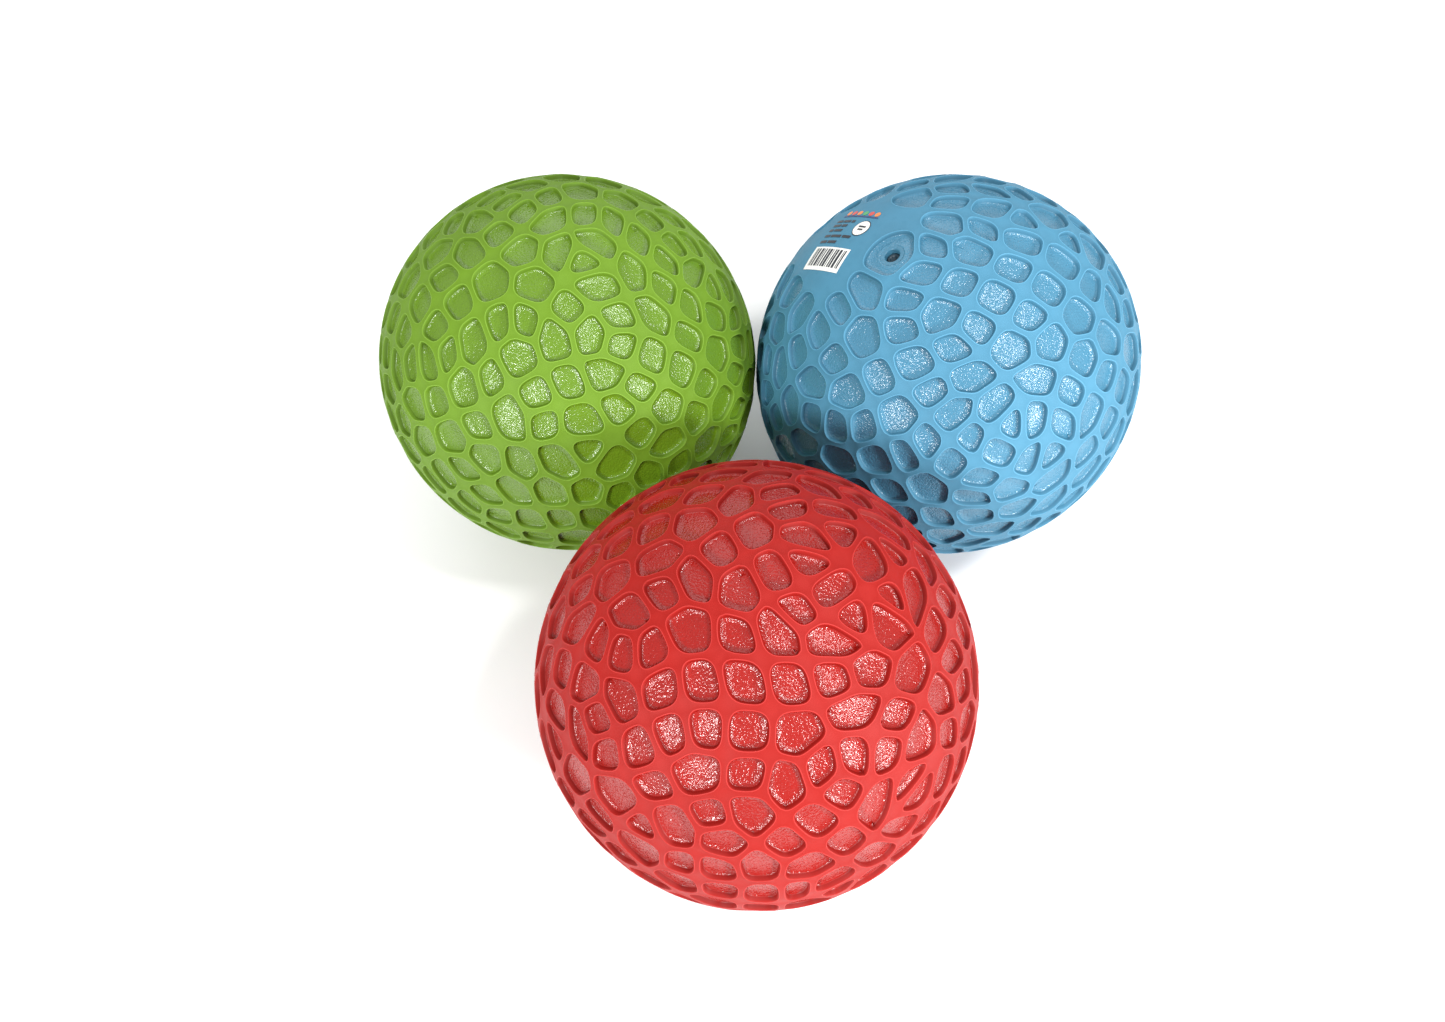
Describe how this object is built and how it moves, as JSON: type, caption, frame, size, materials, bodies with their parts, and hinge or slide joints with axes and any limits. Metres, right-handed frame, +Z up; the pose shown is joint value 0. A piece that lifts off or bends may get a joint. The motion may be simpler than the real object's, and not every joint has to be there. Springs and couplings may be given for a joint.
{
  "type": "textured inflatable ball set",
  "caption": "Set of inflatable play balls in green, blue and red, covered with recessed rounded cells, each with a plugged valve and a smooth printed panel.",
  "frame": {"origin": "on the floor, under the middle of the set's box", "axes": "+Z up; +X to the right, from the green ball to the blue one; +Y away from the red ball in front"},
  "size_m": [0.432, 0.4032, 0.2151],
  "materials": {
    "red_pvc": "soft glossy PVC, fine orange-peel grain in the cells",
    "red_valve": "soft PVC, darker",
    "red_print": "white ink",
    "green_pvc": "soft glossy PVC, fine orange-peel grain in the cells",
    "green_valve": "soft PVC, darker",
    "green_print": "white ink",
    "blue_pvc": "soft glossy PVC, fine orange-peel grain in the cells",
    "blue_valve": "soft PVC, darker",
    "blue_print": "white ink"
  },
  "bodies": {
    "red_ball": {"red_shell": "red_pvc", "red_valve_insert": "red_pvc", "red_label_print": "red_print"},
    "green_ball": {"green_shell": "green_pvc", "green_valve_insert": "green_pvc", "green_label_print": "green_print"},
    "blue_ball": {"blue_shell": "blue_pvc", "blue_valve_insert": "blue_pvc", "blue_label_print": "blue_print"},
    "red_plug": {"red_valve_plug": "red_valve"},
    "green_plug": {"green_valve_plug": "green_valve"},
    "blue_plug": {"blue_valve_plug": "blue_valve"}
  },
  "joints": [
    {"name": "green_ball_slide", "type": "slide", "parent": "red_ball", "child": "green_ball", "axis": [-0.866, 0.5, 0], "range_m": [0, 0.25]},
    {"name": "blue_ball_slide", "type": "slide", "parent": "red_ball", "child": "blue_ball", "axis": [0.866, 0.5, 0], "range_m": [0, 0.25]},
    {"name": "red_plug_pull", "type": "slide", "parent": "red_ball", "child": "red_plug", "axis": [0.5567, -0.6634, -0.5], "range_m": [0, 0.02]},
    {"name": "green_plug_pull", "type": "slide", "parent": "green_ball", "child": "green_plug", "axis": [-0.7493, 0.6287, 0.2079], "range_m": [0, 0.02]},
    {"name": "blue_plug_pull", "type": "slide", "parent": "blue_ball", "child": "blue_plug", "axis": [-0.3987, -0.007, 0.9171], "range_m": [0, 0.02]}
  ]
}
